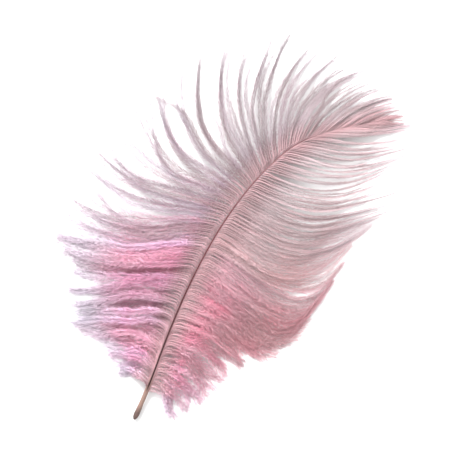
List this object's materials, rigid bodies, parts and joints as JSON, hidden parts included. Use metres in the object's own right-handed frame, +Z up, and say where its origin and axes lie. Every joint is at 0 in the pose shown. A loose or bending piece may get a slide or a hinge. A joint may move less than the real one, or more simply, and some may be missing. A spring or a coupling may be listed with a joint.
{
  "type": "ostrich feather",
  "caption": "Dyed ostrich plume lying flat: a tapering curved shaft with a soft vane of long, curled barbs on each side, parted into locks.",
  "frame": {"origin": "middle of the plume's footprint, on the surface it lies on", "axes": "+Y from the quill's end to the shaft's tip, +X across the vane, +Z up from the surface"},
  "size_m": [0.1314, 0.2088, 0.0096],
  "materials": {
    "quill": "smooth keratin, dark maroon pith line in the groove",
    "barbs_pink": "soft dusty pink barbs with fine down",
    "barbs_lilac": "soft lilac barbs with fine down",
    "barbs_grey": "soft pale grey-pink barbs with fine down"
  },
  "bodies": {
    "root": {"shaft": "quill", "barbs_left_01": "barbs_lilac", "barbs_left_02": "barbs_pink", "barbs_left_03": "barbs_lilac", "barbs_left_04": "barbs_lilac", "barbs_left_05": "barbs_pink", "barbs_left_06": "barbs_pink", "barbs_left_07": "barbs_grey", "barbs_left_08": "barbs_grey", "barbs_left_09": "barbs_grey", "barbs_left_10": "barbs_grey", "barbs_left_11": "barbs_grey", "barbs_left_12": "barbs_grey", "barbs_left_13": "barbs_grey", "barbs_right_01": "barbs_pink", "barbs_right_02": "barbs_pink", "barbs_right_03": "barbs_pink", "barbs_right_04": "barbs_pink", "barbs_right_05": "barbs_grey", "barbs_right_06": "barbs_grey", "barbs_right_07": "barbs_grey", "barbs_right_08": "barbs_grey"}
  },
  "joints": []
}
